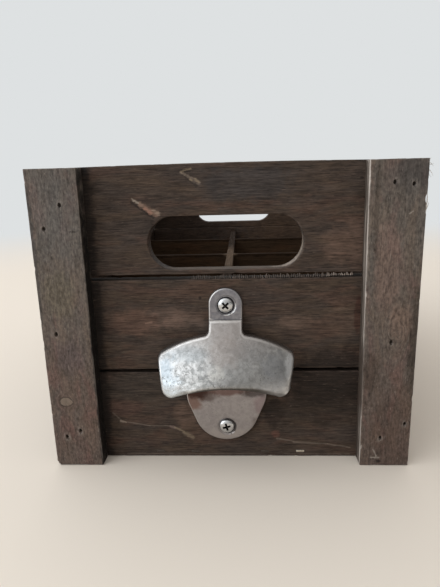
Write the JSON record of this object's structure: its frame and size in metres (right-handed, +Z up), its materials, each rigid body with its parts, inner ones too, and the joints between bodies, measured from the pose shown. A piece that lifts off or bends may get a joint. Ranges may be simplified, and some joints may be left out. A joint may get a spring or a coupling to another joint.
{
  "type": "beer crate",
  "caption": "Slatted wooden bottle crate with a stadium-shaped handle hole in each end, crossed dividers inside and a cast wall-mount bottle opener screwed to one end.",
  "frame": {"origin": "middle of the crate's underside, on the middle floor board's lower face", "axes": "+X to the right and +Y towards the back, seen facing the end with the opener; +Z up"},
  "size_m": [0.19, 0.3166, 0.158],
  "materials": {
    "stained_end_wood": "dark grey-brown stain over sawn wood, grain across, no varnish",
    "stained_side_wood": "dark grey-brown stain over sawn wood, grain along the crate",
    "stained_batten_wood": "dark grey-brown stain over sawn wood, grain upright, paler edges",
    "stained_inner_wood": "dark stain, duller and browner than outside",
    "cast_opener": "worn satin nickel over a casting, mottled and finely pitted",
    "opener_screw_steel": "bright zinc-plated steel with a cross recess",
    "brad_steel": "dull steel wire, dark with stain",
    "staple_steel": "galvanised staple wire"
  },
  "bodies": {
    "root": {"front_bottom_slat": "stained_end_wood", "front_middle_slat": "stained_end_wood", "front_top_slat": "stained_end_wood", "back_bottom_slat": "stained_end_wood", "back_middle_slat": "stained_end_wood", "back_top_slat": "stained_end_wood", "left_bottom_slat": "stained_side_wood", "left_middle_slat": "stained_side_wood", "left_top_slat": "stained_side_wood", "right_bottom_slat": "stained_side_wood", "right_middle_slat": "stained_side_wood", "right_top_slat": "stained_side_wood", "front_left_batten": "stained_batten_wood", "front_right_batten": "stained_batten_wood", "back_left_batten": "stained_batten_wood", "back_right_batten": "stained_batten_wood", "left_floor_board": "stained_inner_wood", "middle_floor_board": "stained_inner_wood", "right_floor_board": "stained_inner_wood", "long_divider": "stained_inner_wood", "front_cross_divider": "stained_inner_wood", "back_cross_divider": "stained_inner_wood", "bottle_opener": "cast_opener", "upper_opener_screw": "opener_screw_steel", "lower_opener_screw": "opener_screw_steel", "front_left_batten_brads": "brad_steel", "front_right_batten_brads": "brad_steel", "back_left_batten_brads": "brad_steel", "back_right_batten_brads": "brad_steel", "front_left_corner_brads": "brad_steel", "front_right_corner_brads": "brad_steel", "back_left_corner_brads": "brad_steel", "back_right_corner_brads": "brad_steel", "long_divider_brads": "brad_steel", "cross_divider_brads": "brad_steel", "left_floor_brads": "brad_steel", "right_floor_brads": "brad_steel", "front_floor_staples": "staple_steel", "back_floor_staples": "staple_steel"}
  },
  "joints": []
}
